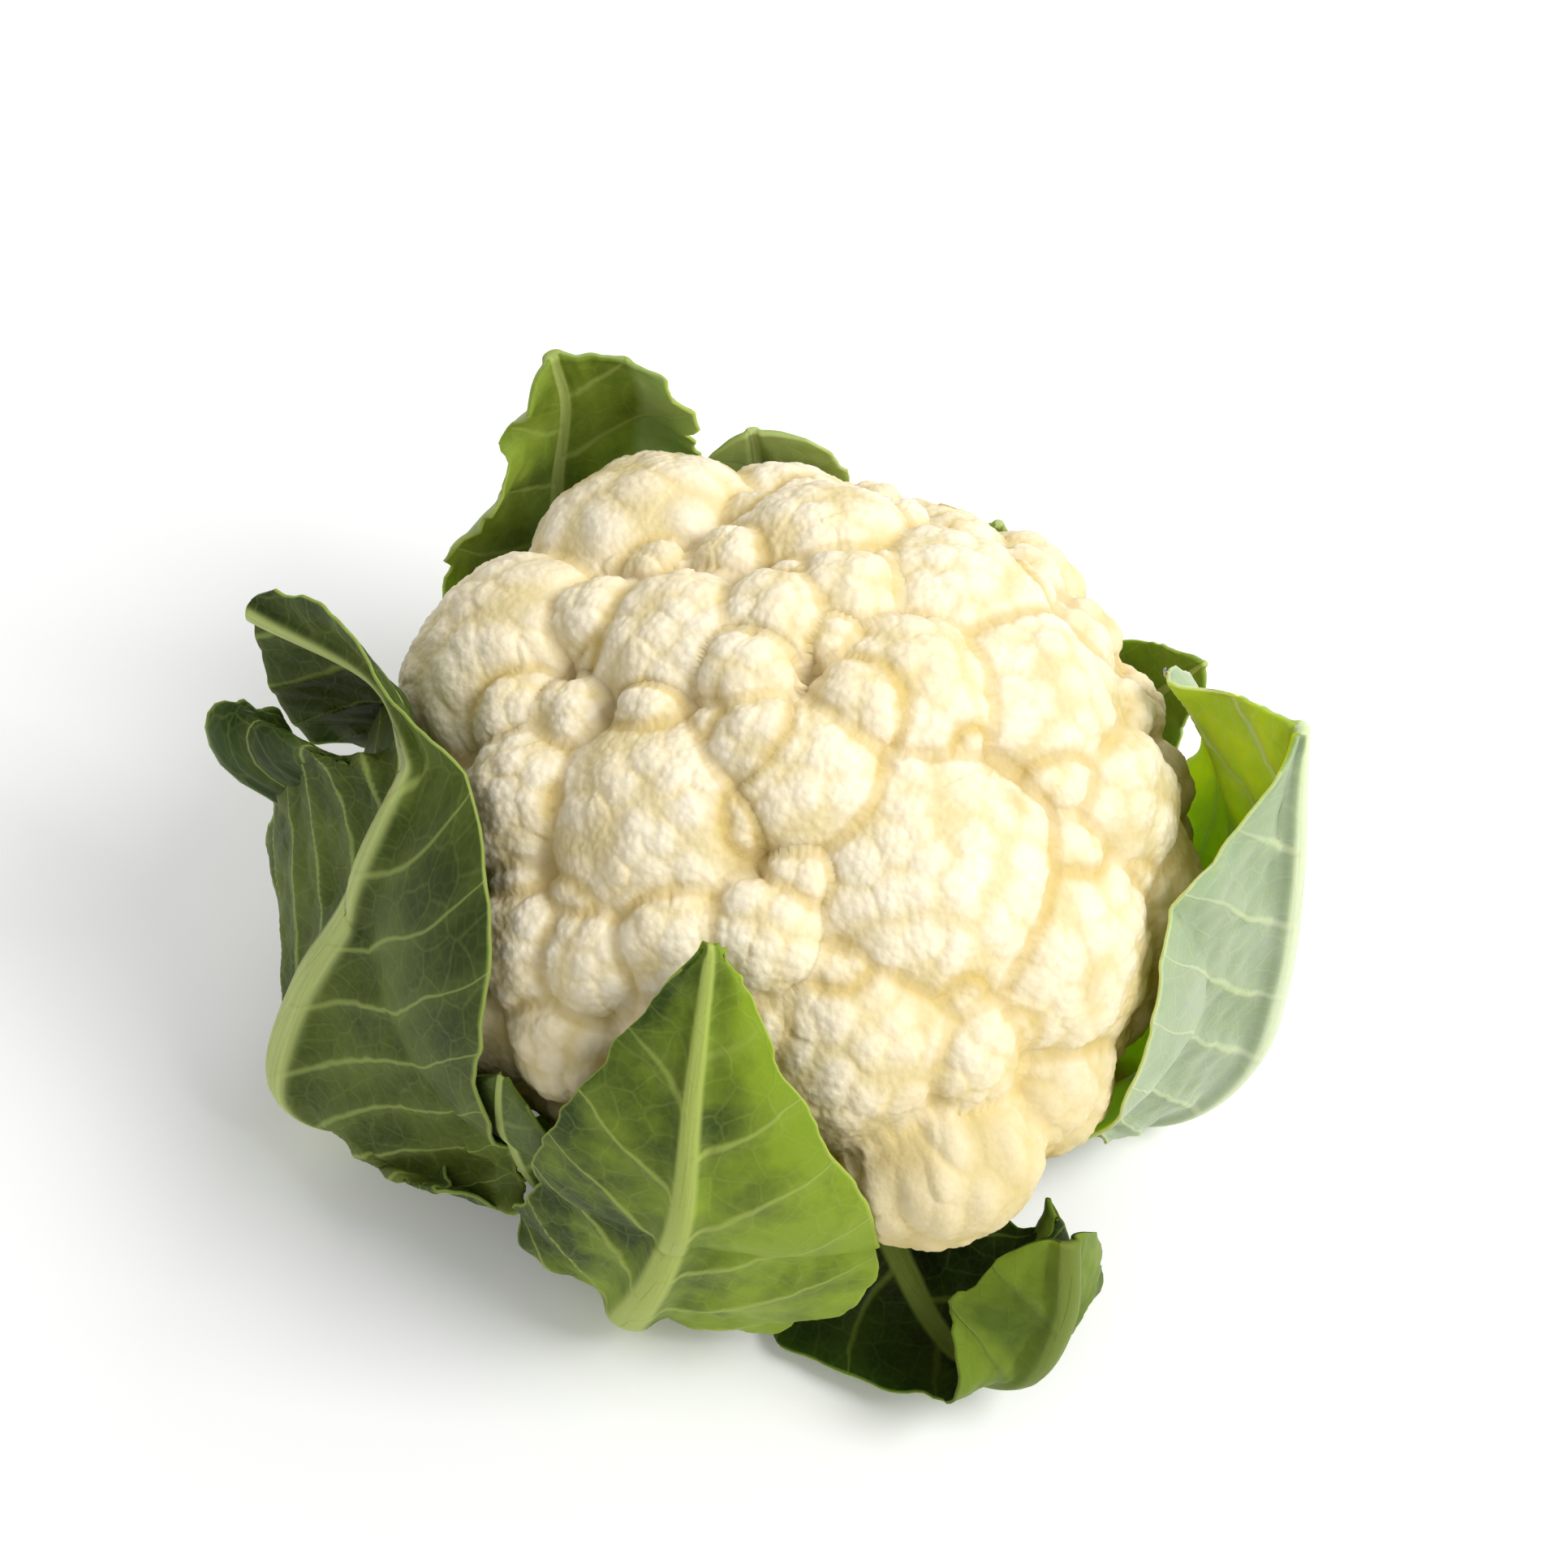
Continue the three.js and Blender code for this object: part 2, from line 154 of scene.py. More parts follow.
for name in ("key", "rim"):
    lamp = bpy.data.objects.new(name, bpy.data.lights.new(name, "AREA"))
    lamp.data.size = light[name]["size"]
    lamp.data.energy = light[name]["watts"]
    lamp.location = light[name]["place"]
    lamp.rotation_euler = (Vector((0, 0, 0.05)) - lamp.location).to_track_quat("-Z", "Y").to_euler()
    scene.collection.objects.link(lamp)

world = bpy.data.worlds.new("softbox")
world.use_nodes = True
softLight = world.node_tree.nodes["Background"]
softLight.inputs["Color"].default_value = linear("#ffffff")
softLight.inputs["Strength"].default_value = light["sky"]
scene.world = world
scene.view_settings.view_transform = "Standard"

paper = newMaterial("paleMattPaper")  # dull white, lit a little from below, so that the shadow stays soft
shade = addNode(paper, "BsdfPrincipled", {
    "Base Color": "#ffffff", "Roughness": 0.9,
    "Emission Color": "#ffffff", "Emission Strength": 0.1})
addNode(paper, "OutputMaterial", {"Surface": shade})
floor = addMesh("floor", [(-3, -3, 0), (3, -3, 0), (3, 3, 0), (-3, 3, 0)], [(0, 1, 2, 3)], paper)
print("camera, floor and light")


# Curd: the same florets as in the solids, each finely budded

curd = {
    # as in the solids, in mm and degrees
    "radius": 87,
    "rise": 75,
    "drop": 34,
    "widestZ": 62,
    "coreDepth": 10,
    "flatness": 0.8,
    "swell": 1.1,
    "largestTilt": 126,
    "spiralSteps": 90,
    "spiralRadius": (13, 24),
    "smallFloret": 0.62,
    "smallFloretTilt": 74,
    "spacing": 0.62,
    # from here on, what only the skin has
    "heartZ": 48,           # the skin is laid out round this height on the axis
    "grid": 222,            # squares along one edge of the cube that it is laid out from
    "gather": 0.72,         # under 1, the squares are smaller at the top
    "plump": 1.14,          # the skin's florets are this much wider, so that they meet in narrow creases
    "innerFlorets": 170,    # small ones that show in the gaps
    "innerRadius": (8, 11),
    "innerDepth": 3.5,
    "innerSpan": 1.45,      # 1 less the cosine of the tilt that they reach down to
    "innerTurn": 40,        # so that they don't line up with the growth spiral
    "meeting": 1.1,         # how softly two florets meet
    "creaseWidth": 0.9,
    "creaseDepth": 1.3,
    "budWidth": 8.5,
    "budDepth": (0.9, 1.8),  # on top of a floret and down its flank
    "flank": (0.6, 1.3),    # a floret's flank begins and is full at these tilts, in radians
    "drawnOut": 0.42,       # under 1, the buds on the flank are drawn out downwards
    "granuleWidth": 2.4,    # real granules are 1.5 to 3 mm
    "granuleDepth": 0.32,
    "mostTriangles": 175000,
}

# turn, tilt from the axis, radius, and how far proud of the dome, as in the solids
mainFlorets = [
    (348, 17, 16), (272, 19, 15), (161, 20, 16), (82, 30, 18), (37, 32, 19), (226, 33, 21),
    (4, 38, 21), (304, 39, 25), (262, 43, 11), (246, 47, 12), (198, 48, 14), (160, 57, 23, 8),
    (122, 54, 23, 7), (350, 58, 17), (62, 62, 19, -4), (36, 60, 16, -8), (22, 75, 17, -7),
    (94, 58, 17, -1), (120, 8, 11), (62, 14, 10), (200, 8, 9), (248, 16, 10), (320, 12, 10),
    (232, 56, 11), (253, 61, 14), (220, 62, 13), (280, 63, 20), (321, 66, 22), (296, 68, 11),
    (232, 73, 13), (293, 83, 12, -3), (309, 92, 17, 2), (290, 108, 19, 9),
]


def domePoint(turn, tilt, margin=0):
    height = curd["rise"] if tilt < 90 else curd["drop"]
    across = (curd["radius"] + margin) * math.sin(math.radians(tilt))
    return np.array([
        across * math.cos(math.radians(turn)),
        across * math.sin(math.radians(turn)),
        curd["widestZ"] + (height + margin) * math.cos(math.radians(tilt)),
    ])


def floretAt(turn, tilt, radius, proud=0):
    top = domePoint(turn, tilt, proud)
    height = curd["rise"] if top[2] > curd["widestZ"] else curd["drop"]
    out = np.array([top[0], top[1], 0]) / curd["radius"] ** 2
    out[2] = (top[2] - curd["widestZ"]) / height ** 2
    out /= np.linalg.norm(out)
    return {"centre": top - out * radius * curd["flatness"], "out": out, "radius": radius}


def floretList():  # the main florets, then the growth spiral in every place that they leave free
    florets = [floretAt(turn, tilt, radius * curd["swell"], *proud)
               for turn, tilt, radius, *proud in mainFlorets]
    span = 1 - math.cos(math.radians(curd["largestTilt"]))
    low, high = curd["spiralRadius"]
    for step in range(curd["spiralSteps"]):
        share = (step + 0.5) / curd["spiralSteps"]
        tilt = math.degrees(math.acos(1 - span * share))
        radius = low + (high - low) * math.sqrt(share)
        sizes = [radius, radius * curd["smallFloret"]] if tilt < curd["smallFloretTilt"] else [radius]
        for size in sizes:
            new = floretAt(math.degrees(step * goldenAngle), tilt, size)
            apart = [np.linalg.norm(other["centre"] - new["centre"]) for other in florets]
            if all(far > curd["spacing"] * (other["radius"] + size) for far, other in zip(apart, florets)):
                florets.append(new)
    return florets


def spiralWays(count, seed=0, jitter=0.0):
    step = np.arange(count)
    height = 1 - (2 * step + 1) / count
    across = np.sqrt(1 - height ** 2)
    turn = step * goldenAngle
    ways = np.stack([across * np.cos(turn), across * np.sin(turn), height], axis=1)
    if jitter:
        ways += np.random.default_rng(seed).normal(size=ways.shape) * jitter
    return unit(ways)


def gathered(ways, share):  # draws directions towards the top
    tilt = 2 * np.arctan(share * np.tan(np.arccos(np.clip(ways[:, 2], -1, 1)) / 2.0001))
    scale = np.sin(tilt) / (np.hypot(ways[:, 0], ways[:, 1]) + 1e-9)
    return np.stack([ways[:, 0] * scale, ways[:, 1] * scale, np.cos(tilt)], axis=1)


def mounds(ways, tops, width, seed):  # 1 on each top, 0 at its foot, and a random value for each
    extra = np.random.default_rng(seed).uniform(-1, 1, len(tops))
    near = ways.astype(np.float32) @ tops.T.astype(np.float32)
    near += (0.12 * width ** 2 * extra).astype(np.float32)
    best = near.argmax(axis=1)
    off = np.arccos(np.clip((ways * tops[best]).sum(axis=1), -1, 1)) / width
    return 1 - smooth(0, 1.15, off), extra[best]


def cubeGrid(count):  # directions all round, from the six faces of a cube
    step = np.tan(np.linspace(-1, 1, count + 1) * math.pi / 4)
    u, v = (g.ravel() for g in np.meshgrid(step, step, indexing="ij"))
    corner = (np.arange(count)[:, None] * (count + 1) + np.arange(count)).ravel()
    square = np.stack([corner, corner + count + 1, corner + count + 2, corner + 1], axis=1)
    ways, faces = [], []
    for axis in range(3):
        for sign in (1, -1):
            side = np.empty((len(u), 3))
            side[:, axis] = sign
            side[:, (axis + 1) % 3] = u
            side[:, (axis + 2) % 3] = v * sign
            faces.append(square + len(u) * len(faces))
            ways.append(side)
    ways = unit(np.concatenate(ways))
    kept, renumber = np.unique(np.round(ways * 1e5).astype(int), axis=0, return_inverse=True)
    return unit(kept / 1e5), renumber.ravel()[np.concatenate(faces)]


florets = floretList()
solidFlorets = len(florets)
for floret in florets:  # wider with the top where it was
    grown = floret["radius"] * (curd["plump"] - 1)
    floret["centre"] = floret["centre"] - floret["out"] * grown * curd["flatness"]
    floret["radius"] += grown
for step in range(curd["innerFlorets"]):
    share = (step + 0.5) / curd["innerFlorets"]
    tilt = math.degrees(math.acos(1 - curd["innerSpan"] * share))
    turn = math.degrees(step * goldenAngle) + curd["innerTurn"]
    low, high = curd["innerRadius"]
    size = low + (high - low) * ((step * 7) % 10) / 10  # mixed, in a fixed order
    florets.append(floretAt(turn, tilt, size, -curd["innerDepth"]))
heart = np.array([0, 0, curd["heartZ"]])


def curdSkin():
    ways, faces = cubeGrid(curd["grid"])
    ways = gathered(ways, curd["gather"])
    # distance from the heart to the core, then to each floret that the direction meets
    height = np.where(ways[:, 2] > 0, curd["rise"], curd["drop"]) - curd["coreDepth"]
    across = curd["radius"] - curd["coreDepth"]
    a = (ways[:, 0] ** 2 + ways[:, 1] ** 2) / across ** 2 + ways[:, 2] ** 2 / height ** 2
    drop = curd["heartZ"] - curd["widestZ"]
    b = ways[:, 2] * drop / height ** 2
    first = (-b + np.sqrt(b ** 2 - a * (drop ** 2 / height ** 2 - 1))) / a
    second = np.zeros(len(ways))
    winner = np.full(len(ways), -1)
    level = curd["radius"]
    total = np.exp((first - level) / curd["meeting"])
    for index, floret in enumerate(florets):
        offset = heart - floret["centre"]
        distance = np.linalg.norm(offset)
        reach = min(floret["radius"] / distance, 0.999)
        met = np.flatnonzero(ways @ (-offset / distance) > math.sqrt(1 - reach ** 2))
        squash = 1 / curd["flatness"] ** 2 - 1
        way = ways[met]
        wayOut = way @ floret["out"]
        offOut = offset @ floret["out"]
        a = 1 + squash * wayOut ** 2
        b = way @ offset + squash * wayOut * offOut
        c = offset @ offset + squash * offOut ** 2 - floret["radius"] ** 2
        inside = b ** 2 - a * c
        met = met[inside > 0]
        length = ((-b + np.sqrt(np.maximum(inside, 0))) / a)[inside > 0]
        total[met] += np.exp((length - level) / curd["meeting"])
        wins = length > first[met]
        second[met] = np.where(wins, first[met], np.maximum(second[met], length))
        first[met] = np.maximum(first[met], length)
        winner[met[wins]] = index
    far = level + curd["meeting"] * np.log(total)
    points = heart + ways * far[:, None]
    gap = first - second
    return ways, faces, points, gap, winner


def budded(points, floret, index):
    # in the floret's own frame, its top along Z
    turn = np.array(Vector((0, 0, 1)).rotation_difference(Vector(floret["out"])).to_matrix())
    radius = floret["radius"]
    local = (points - floret["centre"]) @ turn
    local[:, 2] /= curd["flatness"]
    local = unit(local)
    # on the flanks the buds draw out into columns that run down to the stalk
    tilt = np.arccos(np.clip(local[:, 2], -1, 1))
    top, rim = curd["flank"]
    drawn = np.where(tilt > top, top + (tilt - top) * curd["drawnOut"], tilt)
    stretch = np.sin(drawn) / (np.hypot(local[:, 0], local[:, 1]) + 1e-9)
    lookup = np.stack([local[:, 0] * stretch, local[:, 1] * stretch, np.cos(drawn)], axis=1)
    lookup += np.stack([waves(lookup * radius, 9, 3 * index + k) for k in range(3)], axis=1) / radius
    lookup = unit(lookup)
    buds = spiralWays(round(4 * radius ** 2 / (curd["budWidth"] / 2) ** 2), index, 0.09)
    budShape, budExtra = mounds(lookup, buds, curd["budWidth"] * 0.62 / radius, index)
    # the granules stay round, also on the flanks
    grains = spiralWays(round(4 * radius ** 2 / (curd["granuleWidth"] / 2) ** 2), index, 0.5 / radius)
    sway = np.stack([waves(local * radius, 4, 5 * index + k) for k in range(3)], axis=1)
    strewn = unit(local + 0.5 * sway / radius)
    grainShape, grainExtra = mounds(strewn, grains, curd["granuleWidth"] * 0.62 / radius, index + 500)
    flank = smooth(top, rim, tilt)
    high, low = curd["budDepth"]
    deep = (high + (low - high) * flank) * (1 - budShape + 0.12 * budExtra)
    deep += curd["granuleDepth"] * (1 - grainShape + 0.15 * grainExtra) * (1 - 0.4 * flank)
    deep -= 0.6 * waves(local * radius, 22, index + 900)
    return deep, (1 - budShape) ** 2, 1 - grainShape, budExtra


def blurred(values, faces, rounds):  # each value shared with its neighbours on the skin
    uses = np.bincount(faces.ravel())
    for _ in range(rounds):
        middle = np.repeat(values[faces].mean(axis=1), faces.shape[1])
        values = np.bincount(faces.ravel(), middle) / uses
    return values


def curdMesh():
    ways, faces, points, gap, winner = curdSkin()
    deep = np.full(len(points), 1.0)
    cleft = np.full(len(points), 0.5)
    grain = np.full(len(points), 0.5)
    tint = np.zeros(len(points))
    push = ways.copy()
    for index, floret in enumerate(florets):
        mine = np.flatnonzero(winner == index)
        if len(mine):
            deep[mine], cleft[mine], grain[mine], tint[mine] = budded(points[mine], floret, index)
            push[mine] = unit(points[mine] - floret["centre"])
    # the creases are blurred, or the steep walls of the florets would show streaks
    fade = blurred(np.exp(-gap / curd["creaseWidth"]), faces, 3)
    crease = blurred(fade, faces, 1)
    deep += curd["creaseDepth"] * fade
    points -= unit(push + ways * fade[:, None]) * deep[:, None]
    height = np.where(points[:, 2] > curd["widestZ"], curd["rise"], curd["drop"])
    depth = 1 - np.sqrt((points[:, 0] ** 2 + points[:, 1] ** 2) / curd["radius"] ** 2
                        + ((points[:, 2] - curd["widestZ"]) / height) ** 2)
    inStem = (np.hypot(points[:, 0], points[:, 1]) < 30) & (points[:, 2] < 44)
    faces = faces[~inStem[faces].all(axis=1)]
    values = {"crease": crease, "depth": depth, "cleft": cleft, "grain": grain, "tint": tint}
    return points, faces, values, winner


curdFlesh = newMaterial("curdFlesh")  # matt cream that takes in some light, yellower and darker in the clefts, creases and hollows: partly its own colour, partly painted shade
curdLook = {
    "crest": "#f9efd6",
    "body": "#f3e5c2",
    # cleft: yellower between buds and granules, partly the flesh's own colour and partly painted shade
    "cleft": "#dcc886",
    # crease: the creases between florets, partly the flesh's own colour and partly painted shade
    "crease": "#c8aa4c",
    # deep: painted shade, dark brown where the skin lies far below the dome
    "deep": "#8a6c22",
    "low": "#c9b25e",       # painted shade on the low flanks that get less light, with some of the flesh's own yellower colour near the stalk
    "shaded": (104 * mm, 58 * mm),  # that colour begins and is full at these heights
    "blotch": 18 * mm,      # patches of cream and paler cream
    "grain": 1.1 * mm,      # the finest granules, shown at their real size
}


def buildCurdFlesh(m):
    place = addNode(m, "TexCoord").outputs["Object"]
    read = {name: addNode(m, "Attribute", attribute_name=name).outputs["Fac"]
            for name in ("crease", "depth", "cleft", "grain", "tint")}
    blotch = addNode(m, "TexNoise", {"Vector": place, "Scale": 1 / curdLook["blotch"], "Detail": 4})
    blotch = addNode(m, "Math", {0: read["tint"], 1: 0.07, 2: blotch}, operation="MULTIPLY_ADD")
    tone = addNode(m, "MapRange", {"Value": blotch, "From Min": 0.35, "From Max": 0.65})
    body, crest = curdLook["body"], curdLook["crest"]
    colour = addNode(m, "Mix", {"Factor": tone, "A": body, "B": crest}, data_type="RGBA")
    # painted shade mixed with the flesh's own yellower colour, in the pits between granules and the clefts
    # between buds
    pits = addNode(m, "MapRange", {"Value": read["grain"], "From Min": 0.3, "To Max": 0.2})
    colour = addNode(m, "Mix", {"Factor": pits, "A": colour, "B": curdLook["cleft"]}, data_type="RGBA")
    cleft = addNode(m, "MapRange", {"Value": read["cleft"], "From Min": 0.1, "To Max": 0.65})
    colour = addNode(m, "Mix", {"Factor": cleft, "A": colour, "B": curdLook["cleft"]}, data_type="RGBA")
    # the creases between florets: partly the flesh's own colour, partly painted shade
    near = addNode(m, "MapRange", {
        "Value": read["crease"], "From Min": 0.16, "From Max": 0.8, "To Max": 0.72})
    colour = addNode(m, "Mix", {"Factor": near, "A": colour, "B": curdLook["crease"]}, data_type="RGBA")
    # painted shade: dark brown where the skin lies far below the dome
    deep = addNode(m, "MapRange", {"Value": read["depth"], "From Min": 0.07, "From Max": 0.17, "To Max": 0.6})
    colour = addNode(m, "Mix", {"Factor": deep, "A": colour, "B": curdLook["deep"]}, data_type="RGBA")
    # painted shade towards the bottom, mixed with the flesh's own yellower colour near the stalk
    height = addNode(m, "SeparateXYZ", {"Vector": place}).outputs["Z"]
    sunny, shady = curdLook["shaded"]
    shaded = addNode(m, "MapRange", {"Value": height, "From Min": sunny, "From Max": shady, "To Max": 0.6})
    colour = addNode(m, "Mix", {"Factor": shaded, "A": colour, "B": curdLook["low"]}, data_type="RGBA")
    cells = addNode(m, "TexVoronoi", {"Vector": place, "Scale": 1 / curdLook["grain"]})
    bump = addNode(m, "Bump", {"Height": cells, "Strength": 0.4, "Distance": 0.3 * mm}, invert=True)
    shader = addNode(m, "BsdfPrincipled", {
        "Base Color": colour, "Normal": bump, "Roughness": 0.6, "IOR": 1.4, "Specular IOR Level": 0.3,
        "Subsurface Weight": 0.4, "Subsurface Scale": 3 * mm, "Subsurface Radius": (1.0, 0.8, 0.5)},
        subsurface_method="BURLEY")
    addNode(m, "OutputMaterial", {"Surface": shader})


buildCurdFlesh(curdFlesh)

# the skin is split along its creases into sectors, none with too many triangles
total = 0
points, faces, values, winner = curdMesh()
turns = np.array([math.atan2(f["out"][1], f["out"][0]) for f in florets] + [-math.pi])
order = np.argsort(turns[winner[faces[:, 0]]], kind="stable")
sectors = math.ceil(len(faces) * 2 / curd["mostTriangles"])
bounds = turns[winner[faces[order[np.arange(1, sectors) * len(faces) // sectors], 0]]]
sector = np.searchsorted(bounds, turns[winner[faces[:, 0]]], side="right")
for number in range(sectors):
    mine = faces[sector == number]
    kept, renumber = np.unique(mine, return_inverse=True)
    shown = [(key, value[kept]) for key, value in values.items()]
    squares = renumber.reshape(mine.shape)
    piece = addMesh(f"curdSector{number + 1}", points[kept] * mm, squares, curdFlesh, shown)
    total += standFor(piece, "curd")
print("curd of", solidFlorets, "florets")


# Leaves: the same blades as in the solids, with their veins, blisters and ragged margins

blade = {
    "row": 1.35,            # grid step along the rib, in mm
    "column": 1.4,          # grid step across the blade
    "ribColumns": 7,
    "thick": 1.2,
    "edgeThick": 0.7,
    "veinSpacing": 21,      # between two side veins along the rib
    "veinAngle": 52,        # at which they leave it
    "veinGap": 16.59,       # between two side veins, straight across
    "quilt": 0.9,           # how far the blade puffs in between two veins
    "veinHigh": 0.7,
    "groove": 0.8,          # depth of the rib's groove on the inner side
}

# rib: turn, distance from the axis, height, blade width towards + turn and towards - turn, as in the solids
# lift, cup: each half's angle to the rib and radius of curl along the leaf, towards + turn and towards - turn
# ribWidth, ribHeight: at the base and the tip; wave: height and number of the margin's slow waves
# ruffle, ragged: its small waves out of the blade and along it; bloom: how waxy the outer side is
# paler, painted light and shade: how much lighter the blade gets towards its + side and its tip
# glow, veinAngle: where a leaf's differ; folded: distance from the rib at which a tip is turned over
leaves = [
    {
        "name": "leaf_left",
        "rib": [(198, 17, 9, 7, 7), (198, 58, 8.5, 18, 18), (198, 96, 8.5, 50, 30), (197, 112, 22, 61, 40),
                (195, 104, 48, 61, 42), (195, 92, 73, 53, 43), (193, 81, 97, 39, 48), (186, 76, 109, 11, 55),
                (174, 84, 113, 14, 55), (167, 113, 112, 5, 43)],
        "ribWidth": (15, 5), "ribHeight": (6, 2.5),
        "lift": ((-30, -18, -10, -14, -100), (-90, -25, 18, 48, 100)), "cup": ((90, 70), (110, 150)),
        "wave": (2.5, 4), "clearance": 5, "ruffle": 2.2, "ragged": 1.6,
        "outer": "#617122", "outerDark": "#37450c", "inner": "#435a18", "innerDark": "#253409",
        "vein": "#9fb05c", "ribColour": "#c6d284", "bloom": 0.02, "paintedLight": (0, -0.25), "veinAngle": 38,
    },
    {
        "name": "leaf_front",
        "rib": [(243, 17, 9, 6, 6), (244, 58, 8, 17, 17), (246, 84, 9, 24, 26), (249, 91, 24, 34, 33),
                (253, 92, 46, 43, 30), (256, 88, 72, 36, 31), (256, 78, 100, 18, 18), (255, 65, 124, 2, 2)],
        "ribWidth": (14, 3), "ribHeight": (6, 1.5),
        "lift": ((-4, 0), (-4, 0)), "cup": ((90, 90), (90, 90)),
        "wave": (1.5, 4), "clearance": 5.5, "ruffle": 0.9, "ragged": 0.9,
        "outer": "#8aa222", "outerDark": "#324408", "inner": "#7f9430", "innerDark": "#5d7220",
        "vein": "#a9b958", "ribColour": "#adba60", "bloom": 0.03, "paintedLight": (0.6, 0),
    },
    {
        "name": "leaf_right",
        "rib": [(338, 17, 9, 6, 6), (338, 57, 7, 18, 18), (339, 84, 9, 24, 34), (342, 98, 28, 45, 53),
                (345, 101, 56, 61, 56), (348, 100, 84, 63, 40), (351, 98, 106, 46, 14), (353, 97, 121, 8, 3)],
        "ribWidth": (13, 4), "ribHeight": (5, 2),
        "lift": ((-30, -34), (-28, -28)), "cup": ((80, 60), (80, 70)),
        "wave": (1.5, 3), "clearance": 3, "ruffle": 1.0, "ragged": 1.0,
        # the bright yellow inner greens are partly the leaf's own colour, partly painted light that stands in
        # for light shining through the blade
        "outer": "#a2b092", "outerDark": "#879a72", "inner": "#cfd60a", "innerDark": "#a9ba06",
        "vein": "#c6d0a8", "ribColour": "#ccd5b4", "bloom": 0.3, "glow": 1, "paintedLight": (0, -0.3),
    },
    {
        "name": "leaf_low",
        "rib": [(287, 17, 9, 7, 7), (287, 56, 6, 17, 18), (288, 74, 5, 24, 32), (289, 87, 5.5, 34, 24),
                (291, 98, 8, 38, 15), (295, 109, 18, 34, 18), (299, 108, 34, 25, 21), (302, 100, 48, 12, 12)],
        "ribWidth": (14, 4), "ribHeight": (3, 2),
        "lift": ((-10, -25), (0, 0, -30)), "cup": ((60, 50), (500, 200, 40)),
        "wave": (2, 3), "clearance": 8, "ruffle": 1.6, "ragged": 1.2,
        # painted shade: the near-black inner greens stand for the shadow on the inner side
        "outer": "#6f841e", "outerDark": "#3b4e08", "inner": "#273a0c", "innerDark": "#101b04",
        "vein": "#627528", "ribColour": "#738238", "bloom": 0.02, "paintedLight": (-0.2, 0.3),
    },
    {
        "name": "leaf_small",
        "rib": [(231, 17, 20, 5, 5), (231, 50, 18, 14, 13), (231, 72, 18, 24, 20), (230.5, 82, 32, 28, 19),
                (229.5, 86, 48, 26, 15), (228.5, 87, 64, 16, 13), (228, 86, 78, 2, 2)],
        "ribWidth": (9, 2), "ribHeight": (2, 0.5),
        "lift": ((-8, 0), (-8, 0)), "cup": ((80, 80), (80, 80)),
        "wave": (0.3, 3), "clearance": 1.6, "ruffle": 0.4, "ragged": 0.6,
        "outer": "#5f7222", "outerDark": "#3a4c10", "inner": "#6f8430", "innerDark": "#4b5f18",
        "vein": "#9cae56", "ribColour": "#a9b86a", "bloom": 0.06,
    },
    {
        "name": "leaf_back_left",
        "rib": [(119, 17, 9, 7, 7), (119, 60, 8.5, 18, 18), (119, 90, 9, 30, 24), (121, 102, 26, 43, 30),
                (122, 102, 52, 47, 33), (122, 99, 80, 35, 32), (121, 96, 106, 17, 30), (122, 96, 123, 6, 24)],
        "ribWidth": (14, 4), "ribHeight": (6, 2),
        "lift": ((-12, -6), (-12, -10)), "cup": ((90, 80), (110, 14)),
        "wave": (3.5, 6), "clearance": 4, "ruffle": 2.6, "ragged": 2.6,
        "outer": "#a9ba72", "outerDark": "#8a9e52", "inner": "#8ea234", "innerDark": "#5a7016",
        "vein": "#a6b65a", "ribColour": "#a9b768", "bloom": 0.12, "folded": 16,
    },
    {
        "name": "leaf_back",
        "rib": [(91, 17, 20, 5, 5), (91, 52, 18, 12, 12), (92, 76, 22, 15, 18), (93, 87, 40, 16, 22),
                (95, 88, 64, 16, 22), (96, 85, 86, 14, 18), (97, 81, 100, 6, 7)],
        "ribWidth": (10, 3), "ribHeight": (2, 1),
        "lift": ((-8, 0), (-5, 0)), "cup": ((80, 60), (85, 60)),
        "wave": (0.5, 3), "clearance": 1.6, "ruffle": 0.5, "ragged": 0.8,
        "outer": "#9aaa64", "outerDark": "#7c8f44", "inner": "#a9b972", "innerDark": "#8b9d54",
        "vein": "#b0bd7c", "ribColour": "#bac688", "bloom": 0.12,
    },
    {
        "name": "leaf_back_right",
        "rib": [(32, 17, 20, 5, 5), (32, 55, 18, 13, 13), (34, 80, 22, 18, 16), (34, 89, 36, 19, 15),
                (31, 91, 52, 14, 11), (27, 92, 65, 8, 8), (24, 93, 75, 2, 2)],
        "ribWidth": (10, 2), "ribHeight": (3, 1),
        "lift": ((-5, 0), (-5, 0)), "cup": ((85, 60), (85, 60)),
        "wave": (1.5, 3), "clearance": 1.8, "ruffle": 0.8, "ragged": 0.8,
        "outer": "#8ea24a", "outerDark": "#6f8530", "inner": "#83a02c", "innerDark": "#638018",
        "vein": "#a9ba60", "ribColour": "#b4c274", "bloom": 0.08,
    },
    {
        "name": "leaf_back_far",
        "rib": [(66, 17, 9, 7, 7), (66, 60, 8.5, 18, 18), (65, 86, 9, 26, 26), (64, 98, 24, 34, 34),
                (63, 98, 42, 30, 30), (62, 95, 56, 18, 18), (62, 93, 66, 3, 3)],
        "ribWidth": (14, 3), "ribHeight": (6, 1.5),
        "lift": ((-12, -6), (-12, -6)), "cup": ((90, 90), (90, 90)),
        "wave": (2.5, 4), "clearance": 5, "ruffle": 1.2, "ragged": 1.0,
        "outer": "#91a454", "outerDark": "#70863a", "inner": "#7c9238", "innerDark": "#5c7422",
        "vein": "#b0bf74", "ribColour": "#bcc888", "bloom": 0.12,
    },
]


